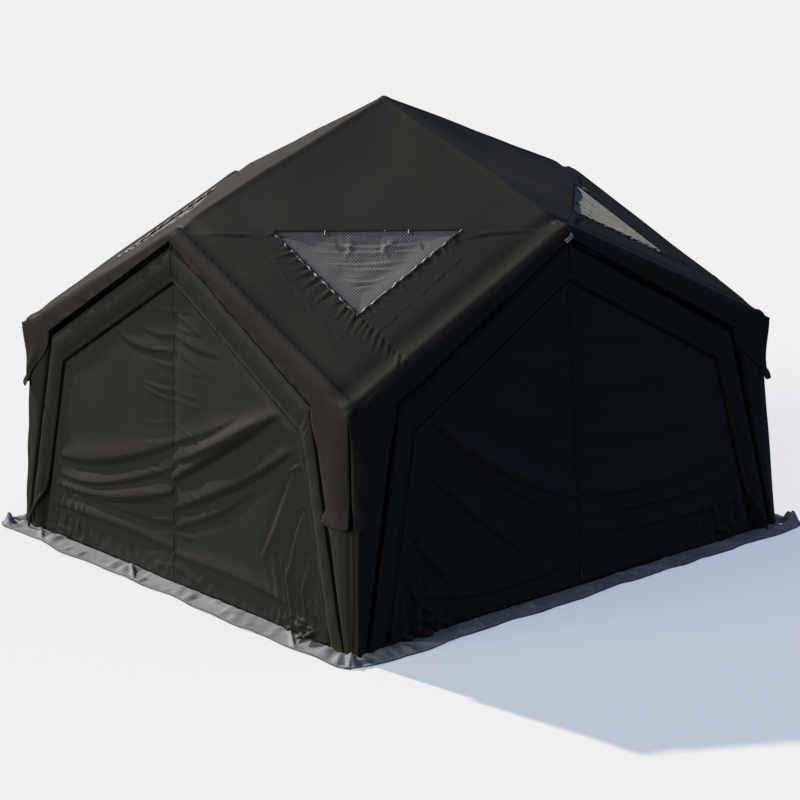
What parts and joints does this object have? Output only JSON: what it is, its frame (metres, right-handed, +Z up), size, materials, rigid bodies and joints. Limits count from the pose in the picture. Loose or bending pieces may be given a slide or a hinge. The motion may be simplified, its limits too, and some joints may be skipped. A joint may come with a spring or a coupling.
{
  "type": "inflatable frame tent",
  "caption": "Square four-gabled air-beam tent with faceted roof, triangular mesh roof windows, a split zipped door in each wall and a ground skirt.",
  "frame": {"origin": "middle of the floor, on the ground", "axes": "+Z up; -Y out of the front wall; +X to the right seen from the front"},
  "size_m": [3.874, 3.874, 2.8278],
  "materials": {
    "bladder_film": "satin",
    "sleeve_fabric": "matte",
    "roof_fabric": "matte",
    "wall_fabric": "matte",
    "door_fabric": "matte",
    "window_mesh": "matte",
    "zip_tape": "matte",
    "zip_metal": "satin",
    "toggle_plastic": "matte",
    "skirt_fabric": "matte",
    "groundsheet_film": "satin",
    "webbing": "matte",
    "valve_plastic": "satin"
  },
  "bodies": {
    "shelter": {"apex_hub": "sleeve_fabric", "corner_beam_bladders": "bladder_film", "corner_beam_sleeves": "sleeve_fabric", "corner_hubs": "sleeve_fabric", "corner_tails": "roof_fabric", "corner_wraps": "wall_fabric", "eave_valance_back": "roof_fabric", "eave_valance_front": "roof_fabric", "eave_valance_left": "roof_fabric", "eave_valance_right": "roof_fabric", "gable_beam_bladders": "bladder_film", "gable_beam_sleeves": "sleeve_fabric", "gable_hubs": "sleeve_fabric", "ground_skirt": "skirt_fabric", "groundsheet": "groundsheet_film", "peak_tab": "webbing", "ridge_beam_bladders": "bladder_film", "ridge_beam_sleeves": "sleeve_fabric", "roof_corner_panel_back_left": "roof_fabric", "roof_corner_panel_back_right": "roof_fabric", "roof_corner_panel_front_left": "roof_fabric", "roof_corner_panel_front_right": "roof_fabric", "roof_top_panel_back_left": "roof_fabric", "roof_top_panel_back_right": "roof_fabric", "roof_top_panel_front_left": "roof_fabric", "roof_top_panel_front_right": "roof_fabric", "storm_flaps": "wall_fabric", "valve_body": "valve_plastic", "wall_border_back": "wall_fabric", "wall_border_front": "wall_fabric", "wall_border_left": "wall_fabric", "wall_border_right": "wall_fabric", "window_mesh_back_left": "window_mesh", "window_mesh_back_right": "window_mesh", "window_mesh_front_left": "window_mesh", "window_mesh_front_right": "window_mesh", "window_toggles": "toggle_plastic", "window_zips": "zip_tape"},
    "door_left_front": {"door_leaf_left_front": "door_fabric", "door_zip_front": "zip_tape"},
    "door_right_front": {"door_leaf_right_front": "door_fabric"},
    "door_slider_front": {"door_slider_front": "zip_metal"},
    "door_left_right": {"door_leaf_left_right": "door_fabric", "door_zip_right": "zip_tape"},
    "door_right_right": {"door_leaf_right_right": "door_fabric"},
    "door_slider_right": {"door_slider_right": "zip_metal"},
    "door_left_back": {"door_leaf_left_back": "door_fabric", "door_zip_back": "zip_tape"},
    "door_right_back": {"door_leaf_right_back": "door_fabric"},
    "door_slider_back": {"door_slider_back": "zip_metal"},
    "door_left_left": {"door_leaf_left_left": "door_fabric", "door_zip_left": "zip_tape"},
    "door_right_left": {"door_leaf_right_left": "door_fabric"},
    "door_slider_left": {"door_slider_left": "zip_metal"},
    "window_slider_front_right": {"window_slider_front_right": "zip_metal"},
    "window_slider_back_right": {"window_slider_back_right": "zip_metal"},
    "window_slider_back_left": {"window_slider_back_left": "zip_metal"},
    "window_slider_front_left": {"window_slider_front_left": "zip_metal"},
    "valve_cap": {"valve_cap": "valve_plastic"}
  },
  "joints": [
    {"name": "door_left_front_swing", "type": "hinge", "parent": "shelter", "child": "door_left_front", "pos_m": [-1.51575, -1.76287, 0.01901], "axis": [-0.2321, -0.0549, -0.9711], "range_deg": [0, 110]},
    {"name": "door_right_front_swing", "type": "hinge", "parent": "shelter", "child": "door_right_front", "pos_m": [1.51575, -1.76287, 0.01901], "axis": [-0.2321, 0.0549, 0.9711], "range_deg": [0, 110]},
    {"name": "door_zip_slide_front", "type": "slide", "parent": "door_left_front", "child": "door_slider_front", "axis": [0, 0.0564, 0.9984], "range_m": [0, 1.711]},
    {"name": "door_left_right_swing", "type": "hinge", "parent": "shelter", "child": "door_left_right", "pos_m": [1.76287, -1.51575, 0.01901], "axis": [0.0549, -0.2321, -0.9711], "range_deg": [0, 110]},
    {"name": "door_right_right_swing", "type": "hinge", "parent": "shelter", "child": "door_right_right", "pos_m": [1.76287, 1.51575, 0.01901], "axis": [-0.0549, -0.2321, 0.9711], "range_deg": [0, 110]},
    {"name": "door_zip_slide_right", "type": "slide", "parent": "door_left_right", "child": "door_slider_right", "axis": [-0.0564, 0, 0.9984], "range_m": [0, 1.711]},
    {"name": "door_left_back_swing", "type": "hinge", "parent": "shelter", "child": "door_left_back", "pos_m": [1.51575, 1.76287, 0.01901], "axis": [0.2321, 0.0549, -0.9711], "range_deg": [0, 110]},
    {"name": "door_right_back_swing", "type": "hinge", "parent": "shelter", "child": "door_right_back", "pos_m": [-1.51575, 1.76287, 0.01901], "axis": [0.2321, -0.0549, 0.9711], "range_deg": [0, 110]},
    {"name": "door_zip_slide_back", "type": "slide", "parent": "door_left_back", "child": "door_slider_back", "axis": [0, -0.0564, 0.9984], "range_m": [0, 1.711]},
    {"name": "door_left_left_swing", "type": "hinge", "parent": "shelter", "child": "door_left_left", "pos_m": [-1.76287, 1.51575, 0.01901], "axis": [-0.0549, 0.2321, -0.9711], "range_deg": [0, 110]},
    {"name": "door_right_left_swing", "type": "hinge", "parent": "shelter", "child": "door_right_left", "pos_m": [-1.76287, -1.51575, 0.01901], "axis": [0.0549, 0.2321, 0.9711], "range_deg": [0, 110]},
    {"name": "door_zip_slide_left", "type": "slide", "parent": "door_left_left", "child": "door_slider_left", "axis": [0.0564, 0, 0.9984], "range_m": [0, 1.711]},
    {"name": "window_zip_slide_front_right", "type": "slide", "parent": "shelter", "child": "window_slider_front_right", "axis": [0.0239, -0.9056, -0.4234], "range_m": [0, 0.744]},
    {"name": "window_zip_slide_back_right", "type": "slide", "parent": "shelter", "child": "window_slider_back_right", "axis": [0.9056, 0.0239, -0.4234], "range_m": [0, 0.744]},
    {"name": "window_zip_slide_back_left", "type": "slide", "parent": "shelter", "child": "window_slider_back_left", "axis": [-0.0239, 0.9056, -0.4234], "range_m": [0, 0.744]},
    {"name": "window_zip_slide_front_left", "type": "slide", "parent": "shelter", "child": "window_slider_front_left", "axis": [-0.9056, -0.0239, -0.4234], "range_m": [0, 0.744]},
    {"name": "valve_cap_swing", "type": "hinge", "parent": "shelter", "child": "valve_cap", "pos_m": [-1.58756, 1.58756, 0.34576], "axis": [-0.7071, -0.7071, 0], "range_deg": [0, 150]}
  ]
}
